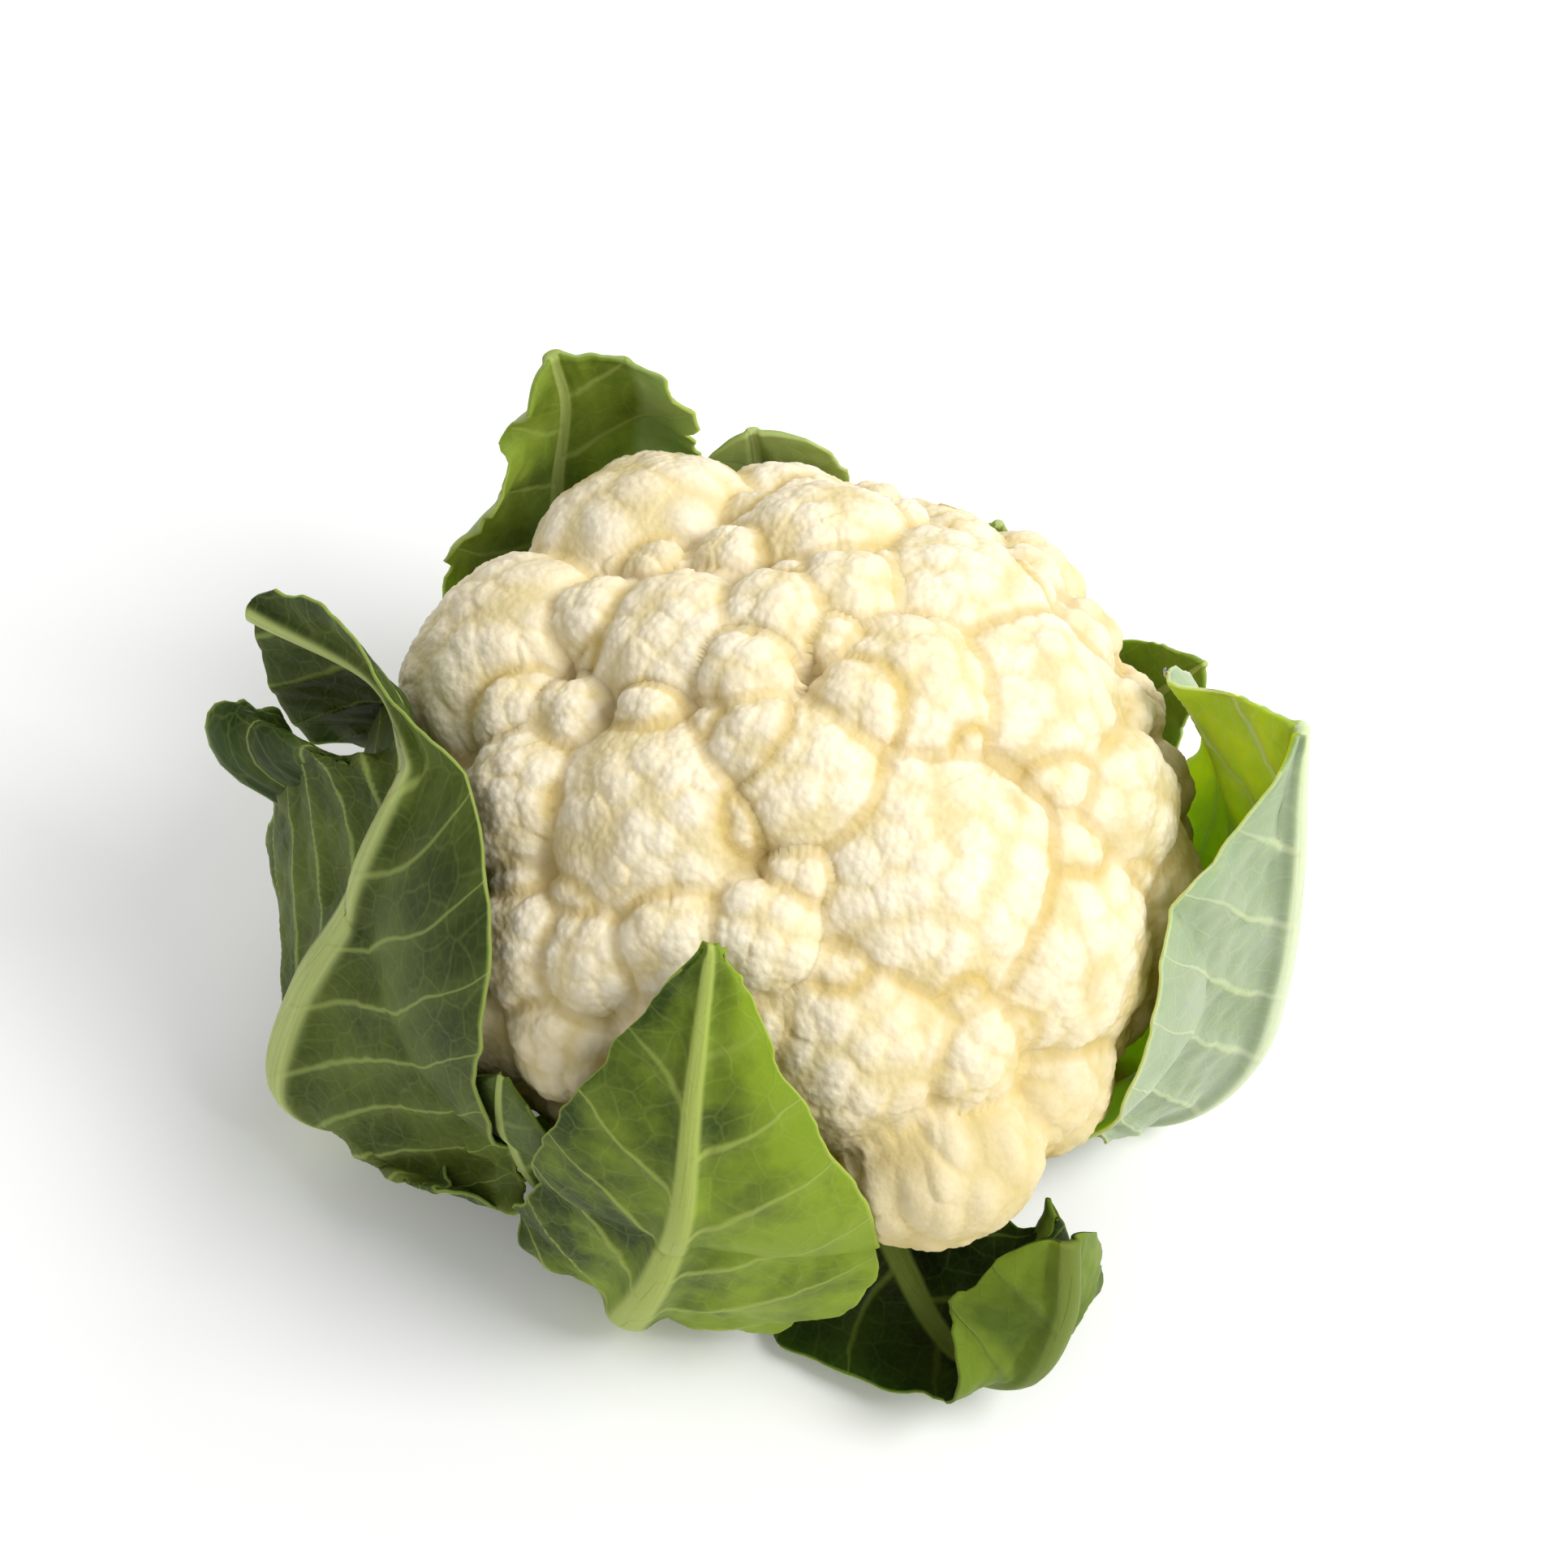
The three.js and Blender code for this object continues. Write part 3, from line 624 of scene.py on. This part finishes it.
def curveAt(rows, t):  # uniform Catmull-Rom with its ends mirrored, as in the solids
    spans = len(rows) - 1
    step = np.clip((t * spans).astype(int), 0, spans - 1)
    w = (t * spans - step)[:, None]
    held = np.concatenate([[2 * rows[0] - rows[1]], rows, [2 * rows[-1] - rows[-2]]])
    p0, p1, p2, p3 = (held[step + k] for k in range(4))
    start = (p2 - p0) / 2
    end = (p3 - p1) / 2
    cube = 2 * p1 - 2 * p2 + start + end
    square = 3 * p2 - 3 * p1 - 2 * start - end
    return cube * w ** 3 + square * w ** 2 + start * w + p1


def valueAlong(values, t):
    return np.interp(t, np.linspace(0, 1, len(values)), values)


def bladePoint(leaf, t, sign, distance, share):
    rib = leaf["ribPoints"]
    at = curveAt(rib, t)
    along = unit(curveAt(rib, np.minimum(t + 1e-4, 1)) - curveAt(rib, np.maximum(t - 1e-4, 0)))
    side = unit(np.stack([-at[:, 1], at[:, 0], 0 * t], axis=1))
    side = unit(side - along * (side * along).sum(axis=1, keepdims=True))
    out = np.cross(side, along)
    plus = sign > 0
    lift = np.radians(np.where(plus, valueAlong(leaf["lift"][0], t), valueAlong(leaf["lift"][1], t)))
    curl = 1 / np.where(plus, valueAlong(leaf["cup"][0], t), valueAlong(leaf["cup"][1], t))
    turned = curl * distance
    sideways = (np.sin(turned - lift) + np.sin(lift)) / curl
    outwards = -(np.cos(lift) - np.cos(turned - lift)) / curl
    height, number = leaf["wave"]
    wave = height * share ** 2 * np.sin(2 * math.pi * number * t + np.where(plus, 0, 2))
    return at + side * (sign * sideways)[:, None] + out * (outwards + wave)[:, None]


def clearOfCurd(points, clearance):
    height = np.where(points[:, 2] > curd["widestZ"], curd["rise"], curd["drop"]) + clearance
    across = curd["radius"] + clearance
    middle = np.array([0, 0, curd["widestZ"]])
    offset = points - middle
    depth = np.sqrt((offset[:, 0] ** 2 + offset[:, 1] ** 2) / across ** 2 + (offset[:, 2] / height) ** 2)
    return middle + offset / np.minimum(depth, 1)[:, None]


def leafMesh(leaf, seed):
    table = np.array(leaf["rib"], dtype=float)
    angle = np.radians(table[:, 0])
    rib = [table[:, 1] * np.cos(angle), table[:, 1] * np.sin(angle), table[:, 2]]
    leaf["ribPoints"] = np.stack(rib, axis=1)
    fine = np.linspace(0, 1, 900)
    steps = np.linalg.norm(np.diff(curveAt(leaf["ribPoints"], fine), axis=0), axis=1)
    path = np.concatenate([[0], np.cumsum(steps)])
    rows = round(path[-1] / blade["row"])
    bladeColumns = round(table[:, 3:].max() / blade["column"])
    ribShares = np.linspace(0, 1, blade["ribColumns"])
    half = [(share, 0) for share in ribShares]
    half += [(1, (k + 1) / bladeColumns) for k in range(bladeColumns)]
    columns = np.array([(-1, *pair) for pair in half[:0:-1]] + [(1, *pair) for pair in half])
    count = len(columns)
    walked = np.repeat(np.linspace(0, path[-1], rows), count)
    sign, ribShare, share = (np.tile(columns[:, k], rows) for k in range(3))
    # the margin falls back a little at the tip, so that the leaf doesn't end in a straight edge
    margin = np.stack([walked, sign * 300 + 0 * walked], axis=1)
    back = share ** 2 * (5 + 2 * waves(margin, 12, seed + 1))
    walked = walked - smooth(0.75, 1, walked / path[-1]) * back
    t = np.interp(walked, path, fine)
    halfRib = (leaf["ribWidth"][0] + (leaf["ribWidth"][1] - leaf["ribWidth"][0]) * t) / 2
    ribHigh = leaf["ribHeight"][0] + (leaf["ribHeight"][1] - leaf["ribHeight"][0]) * t
    widths = np.maximum(curveAt(table[:, 3:], t), 2.2)
    width = np.where(sign > 0, widths[:, 0], widths[:, 1])
    toothed = smooth(0.25, 0.4, t) * leaf["ragged"]
    width = width * 0.975 + toothed * (waves(margin, 17, seed + 2) + 0.5 * waves(margin, 6, seed + 3))
    width = np.maximum(width, halfRib + 1)
    distance = ribShare * halfRib + share * (width - halfRib)
    points = bladePoint(leaf, t, sign, distance, distance / np.maximum(width, 1))
    ground = np.stack([walked, sign * distance], axis=1)
    # waves of the margin, then the puffed blade between the side veins
    veinAngle = math.radians(leaf.get("veinAngle", blade["veinAngle"]))
    run = math.sin(veinAngle)
    lean = 1 / math.tan(veinAngle)
    phase = (walked - distance * lean - distance ** 2 * 0.004) / blade["veinSpacing"]
    phase += np.where(sign > 0, 0, 0.5)  # the veins of the two halves take turns
    phase += 0.10 * waves(ground, 40, seed + 4)
    fromVein = np.abs(phase - np.round(phase))
    wide = smooth(6, 24, width)
    ruffle = leaf["ruffle"] * smooth(0.3, 1, share) ** 1.5 * waves(ground * (1, 0.35), 19, seed + 5)
    ruffle += 0.4 * leaf["ruffle"] * smooth(0.7, 1, share) * waves(ground * (1, 0.3), 8, seed + 6)
    inBlade = smooth(0, 0.12, share) * wide
    puff = -blade["quilt"] * np.sin(math.pi * fromVein) * inBlade * (1 - 0.5 * share)
    puff += 0.3 * waves(ground, 6, seed + 7) * inBlade
    grid = points.reshape(rows, count, 3)
    out = unit(np.cross(np.gradient(grid, axis=1), np.gradient(grid, axis=0))).reshape(-1, 3)
    points = clearOfCurd(points + out * (ruffle * wide + puff)[:, None], leaf["clearance"])
    grid = points.reshape(rows, count, 3)
    out = unit(np.cross(np.gradient(grid, axis=1), np.gradient(grid, axis=0))).reshape(-1, 3)
    # the outer side carries the rib and the side veins, the inner side a groove along the rib
    fromRib = distance / halfRib
    arch = np.sqrt(np.clip(1 - (fromRib / 1.02) ** 2, 0, None))
    bulge = ribHigh * (0.75 * arch + 0.25 * (1 - smooth(0.6, 1.7, fromRib)))
    ridge = np.exp(-(fromVein * blade["veinSpacing"] * run / 1.5) ** 2) * inBlade * (1 - 0.8 * share)
    thick = blade["edgeThick"] + (blade["thick"] - blade["edgeThick"]) * (1 - smooth(0.6, 1, share))
    groove = blade["groove"] * np.clip(1 - fromRib ** 2, 0, 1) * smooth(0, 0.2, t)
    inner = points + out * groove[:, None]
    outer = points + out * (thick + bulge + blade["veinHigh"] * ridge)[:, None]
    points = np.concatenate([inner, outer])
    points[:, 2] = np.maximum(points[:, 2], 0.4)
    a = (np.arange(rows - 1)[:, None] * count + np.arange(count - 1)).ravel()
    b = a + len(inner)
    left = np.arange(rows - 1) * count
    right = left + count - 1
    first = np.arange(count - 1)
    last = first + (rows - 1) * count
    behind = len(inner)
    faces = np.concatenate([
        np.stack([a, a + count, a + count + 1, a + 1], axis=1),
        np.stack([b, b + 1, b + count + 1, b + count], axis=1),
        np.stack([left, left + behind, left + behind + count, left + count], axis=1),
        np.stack([right, right + count, right + behind + count, right + behind], axis=1),
        np.stack([first, first + 1, first + behind + 1, first + behind], axis=1),
        np.stack([last, last + behind, last + behind + 1, last + 1], axis=1),
    ])
    twice = lambda values: np.concatenate([values, values])
    # painted light and shade: the blade lighter or darker towards its + side and its tip, as the light falls
    # on it
    paintedSideLight, paintedTipLight = leaf.get("paintedLight", (0, 0))
    # near its tip the minus half of a folded leaf shows its outer side from this distance on
    fold = leaf.get("folded", 900)
    folded = smooth(fold - 5, fold + 5, distance) * (sign < 0) * smooth(0.7, 0.8, t)
    values = {
        "veinPhase": twice(phase),
        "paintedLight": twice(paintedSideLight * sign * share + paintedTipLight * (2 * t - 1)),
        "share": twice(share),
        "fromRib": twice(fromRib),
        "wide": twice(wide),
        "outerSide": np.concatenate([folded, np.ones(behind)]),
    }
    return points, faces, values, twice(ground) * mm


leafLook = {
    "bloomColour": "#b9c4a6",
    "netSize": 7 * mm,      # cells of the vein net
    "fineNetSize": 2.4 * mm,
    "netDrift": 9 * mm,     # over which the nets bend to and fro
    "netBend": (4 * mm, 4 * mm, 0),     # and how far
    "veinSway": 14 * mm,    # over which the side veins do
    "blotch": 24 * mm,      # darker and lighter patches
    "waxPatch": 13 * mm,
    "fibre": (1.1 * mm, 26 * mm),   # width and length of the strings in the rib
    "glow": 0.35,           # how much light a blade lets through
}


def buildLeafSkin(leaf):
    # satin green that lets light through, with pale veins and, on the outer side, a waxy bloom
    m = newMaterial(leaf["name"].replace("_", "") + "Skin")
    plane = addNode(m, "UVMap", uv_map="leafPlane")
    read = {name: addNode(m, "Attribute", attribute_name=name).outputs["Fac"]
            for name in ("veinPhase", "share", "fromRib", "wide", "outerSide", "paintedLight")}
    drift = addNode(m, "TexNoise", {"Vector": plane, "Scale": 1 / leafLook["netDrift"], "Detail": 2})
    bent = addNode(m, "VectorMath", {0: drift.outputs["Color"], 1: leafLook["netBend"], 2: plane},
                   operation="MULTIPLY_ADD")
    outside = addNode(m, "MapRange", {"Value": read["outerSide"], "From Min": 0.3, "From Max": 0.7})
    blotch = addNode(m, "TexNoise", {
        "Vector": plane, "Scale": 1 / leafLook["blotch"], "Detail": 4, "Roughness": 0.6})
    tone = addNode(m, "MapRange", {"Value": blotch, "From Min": 0.34, "From Max": 0.66})
    # painted light and shade along the blade's side and tip
    tone = addNode(m, "Math", {0: tone, 1: read["paintedLight"]}, operation="ADD", use_clamp=True)
    inner = addNode(m, "Mix", {"Factor": tone, "A": leaf["innerDark"], "B": leaf["inner"]}, data_type="RGBA")
    outer = addNode(m, "Mix", {"Factor": tone, "A": leaf["outerDark"], "B": leaf["outer"]}, data_type="RGBA")
    colour = addNode(m, "Mix", {"Factor": outside, "A": inner, "B": outer}, data_type="RGBA")
    # side veins, each with a pale zone beside it, and two nets between them
    wobble = addNode(m, "TexNoise", {"Vector": plane, "Scale": 1 / leafLook["veinSway"], "Detail": 2})
    sway = addNode(m, "MapRange", {"Value": wobble, "To Min": -0.11, "To Max": 0.11})
    phase = addNode(m, "Math", {0: read["veinPhase"], 1: sway}, operation="ADD")
    off = addNode(m, "Math", {0: phase, 1: 0.5}, operation="PINGPONG")
    fromVein = addNode(m, "Math", {0: off, 1: blade["veinGap"]}, operation="MULTIPLY")
    reach = addNode(m, "MapRange", {"Value": read["share"], "From Max": 0.9, "To Min": 1.2, "To Max": 0.4})
    near = addNode(m, "Math", {0: fromVein, 1: reach}, operation="DIVIDE")
    vein = addNode(m, "MapRange", {"Value": near, "From Min": 0.25, "To Min": 0.65, "To Max": 0})
    vein = addNode(m, "Math", {0: vein, 1: read["wide"]}, operation="MULTIPLY")
    halo = addNode(m, "MapRange", {
        "Value": fromVein, "From Min": 0.5, "From Max": 4.5, "To Min": 0.1, "To Max": 0})
    net = addNode(m, "TexVoronoi", {"Vector": bent, "Scale": 1 / leafLook["netSize"]},
                  feature="DISTANCE_TO_EDGE", voronoi_dimensions="2D")
    fine = addNode(m, "TexVoronoi", {"Vector": bent, "Scale": 1 / leafLook["fineNetSize"]},
                   feature="DISTANCE_TO_EDGE", voronoi_dimensions="2D")
    netLine = addNode(m, "MapRange", {"Value": net, "From Max": 0.06, "To Min": 0.15, "To Max": 0})
    fineLine = addNode(m, "MapRange", {"Value": fine, "From Max": 0.16, "To Min": 0.07, "To Max": 0})
    for line in (fineLine, netLine, halo, vein):
        colour = addNode(m, "Mix", {"Factor": line, "A": colour, "B": leaf["vein"]}, data_type="RGBA")
    # waxy bloom in soft patches, mostly on the outer side
    wax = addNode(m, "TexNoise", {"Vector": plane, "Scale": 1 / leafLook["waxPatch"], "Detail": 5})
    waxy = addNode(m, "MapRange", {
        "Value": wax, "From Min": 0.35, "From Max": 0.7,
        "To Min": 0.4 * leaf["bloom"], "To Max": leaf["bloom"]})
    side = addNode(m, "MapRange", {"Value": outside, "To Min": 0.25})
    waxy = addNode(m, "Math", {0: waxy, 1: side}, operation="MULTIPLY")
    colour = addNode(m, "Mix", {"Factor": waxy, "A": colour, "B": leafLook["bloomColour"]}, data_type="RGBA")
    # rib with its strings, and the pale margin
    ribEdge = addNode(m, "MapRange", {"Value": outside, "To Min": 0.55, "To Max": 0.95})
    fromEdge = addNode(m, "Math", {0: read["fromRib"], 1: ribEdge}, operation="DIVIDE")
    ribbed = addNode(m, "MapRange", {"Value": fromEdge, "From Min": 0.55, "To Min": 1, "To Max": 0},
                     interpolation_type="SMOOTHSTEP")
    thin, long = leafLook["fibre"]
    drawn = addNode(m, "Mapping", {"Vector": plane, "Scale": (1 / long, 1 / thin, 1)})
    fibre = addNode(m, "TexNoise", {"Vector": drawn, "Scale": 1, "Detail": 2})
    ribTone = addNode(m, "MapRange", {"Value": fibre, "From Min": 0.35, "From Max": 0.65, "To Max": 0.5})
    stringy = addNode(m, "Mix", {"Factor": ribTone, "A": leaf["ribColour"], "B": leaf["vein"]},
                      data_type="RGBA")
    colour = addNode(m, "Mix", {"Factor": ribbed, "A": colour, "B": stringy}, data_type="RGBA")
    margin = addNode(m, "MapRange", {"Value": read["share"], "From Min": 0.975, "To Max": 0.7})
    colour = addNode(m, "Mix", {"Factor": margin, "A": colour, "B": leaf["vein"]}, data_type="RGBA")
    # the veins stand out of the outer side and are sunk into the inner one
    relief = addNode(m, "Math", {0: netLine, 1: fineLine}, operation="ADD")
    relief = addNode(m, "Math", {0: relief, 1: vein}, operation="ADD")
    facing = addNode(m, "MapRange", {"Value": outside, "To Min": -0.7})
    relief = addNode(m, "Math", {0: relief, 1: facing}, operation="MULTIPLY")
    relief = addNode(m, "Math", {0: ribbed, 1: fibre, 2: relief}, operation="MULTIPLY_ADD")
    bump = addNode(m, "Bump", {"Height": relief, "Strength": 0.7, "Distance": 0.4 * mm})
    shader = addNode(m, "BsdfPrincipled", {
        "Base Color": colour, "Normal": bump, "Roughness": 0.5, "IOR": 1.45, "Specular IOR Level": 0.15,
        "Subsurface Weight": leaf.get("glow", leafLook["glow"]), "Subsurface Scale": 3 * mm,
        "Subsurface Radius": (0.7, 1.0, 0.1)})
    addNode(m, "OutputMaterial", {"Surface": shader})
    return m


for number, leaf in enumerate(leaves):
    points, faces, values, uv = leafMesh(leaf, 100 * number)
    name = leaf["name"].replace("_", "")
    piece = addMesh(name, points * mm, faces, buildLeafSkin(leaf), values.items(), uv)
    total += standFor(piece, leaf["name"])
print("leaves")


# Stump: the cut stem that the head stands on

stump = {
    "radius": 20,
    "neckZ": 26,
    "topZ": 40,
    "topRadius": 36,
    "sides": 120,
    "skin": "#cdd3a0",
    "skinDark": "#a9b272",
    "cut": "#ece8c8",
    "ring": "#c9c78a",
    "string": (2 * mm, 24 * mm),    # width and length of the strings in the rind
    "bundle": 1.4 * mm,     # the vessels that show as dots round the cut
}


def stumpMesh():
    r = stump["radius"]
    profile = [(r * k / 14, 0) for k in range(14)] + [(r - 1.2, 0), (r - 0.4, 0.5), (r, 1.5)]
    profile += [(r, 1.5 + (stump["neckZ"] - 1.5) * k / 16) for k in range(1, 17)]
    spread = stump["topRadius"] - r
    climb = stump["topZ"] - 4 - stump["neckZ"]
    profile += [(r + spread * k / 10, stump["neckZ"] + climb * k / 10) for k in range(1, 11)]
    profile += [(r + spread, stump["topZ"] - 2), (r + spread - 1, stump["topZ"]), (18, stump["topZ"])]
    profile = np.array(profile)
    turns = np.arange(stump["sides"]) * 2 * math.pi / stump["sides"]
    across = np.repeat(profile[:, 0], stump["sides"])
    up = np.repeat(profile[:, 1], stump["sides"])
    turn = np.tile(turns, len(profile))
    points = np.stack([across * np.cos(turn), across * np.sin(turn), up], axis=1)
    skin = smooth(0.5, 3, up) * (1 - smooth(36, 39, up))
    dent = skin * (0.5 * waves(points, 9, 4) + 0.25 * waves(points * (1, 1, 0.25), 3, 5) - 0.6)
    points[:, :2] *= (1 + dent / np.maximum(across, 1))[:, None]
    ring = np.arange(len(profile) - 1)[:, None] * stump["sides"]
    here = np.arange(stump["sides"])
    after = (here + 1) % stump["sides"]
    above = ring + stump["sides"]
    faces = np.stack([ring + here, ring + after, above + after, above + here], axis=2)
    return points, faces.reshape(-1, 4), {"cut": 1 - smooth(0.2, 0.9, up), "radial": across / r}


def buildStumpFlesh():
    # stringy pale green rind, and the moist cream of the cut with its ring of vessels
    m = newMaterial("cutStemFlesh")
    place = addNode(m, "TexCoord").outputs["Object"]
    thin, long = stump["string"]
    strings = addNode(m, "Mapping", {"Vector": place, "Scale": (1 / thin, 1 / thin, 1 / long)})
    grain = addNode(m, "TexNoise", {"Vector": strings, "Scale": 1, "Detail": 4})
    tone = addNode(m, "MapRange", {"Value": grain, "From Min": 0.35, "From Max": 0.65})
    side = addNode(m, "Mix", {"Factor": tone, "A": stump["skinDark"], "B": stump["skin"]}, data_type="RGBA")
    radial = addNode(m, "Attribute", attribute_name="radial").outputs["Fac"]
    off = addNode(m, "Math", {0: radial, 1: 0.8, 2: 0.1}, operation="COMPARE")
    pith = addNode(m, "TexVoronoi", {"Vector": place, "Scale": 1 / stump["bundle"]})
    bundle = addNode(m, "MapRange", {
        "Value": pith, "From Min": 0.1, "From Max": 0.6, "To Min": 1, "To Max": 0.4})
    ring = addNode(m, "Math", {0: off, 1: bundle}, operation="MULTIPLY")
    face = addNode(m, "Mix", {"Factor": ring, "A": stump["cut"], "B": stump["ring"]}, data_type="RGBA")
    cut = addNode(m, "Attribute", attribute_name="cut").outputs["Fac"]
    colour = addNode(m, "Mix", {"Factor": cut, "A": side, "B": face}, data_type="RGBA")
    bump = addNode(m, "Bump", {"Height": grain, "Strength": 0.6, "Distance": 0.6 * mm})
    shader = addNode(m, "BsdfPrincipled", {
        "Base Color": colour, "Normal": bump, "Roughness": 0.55, "IOR": 1.42, "Subsurface Weight": 0.15,
        "Subsurface Scale": 3 * mm})
    addNode(m, "OutputMaterial", {"Surface": shader})
    return m


points, faces, values = stumpMesh()
piece = addMesh("stump", points * mm, faces, buildStumpFlesh(), values.items())
total += standFor(piece, "stem")
print("stump; in all", total, "triangles")
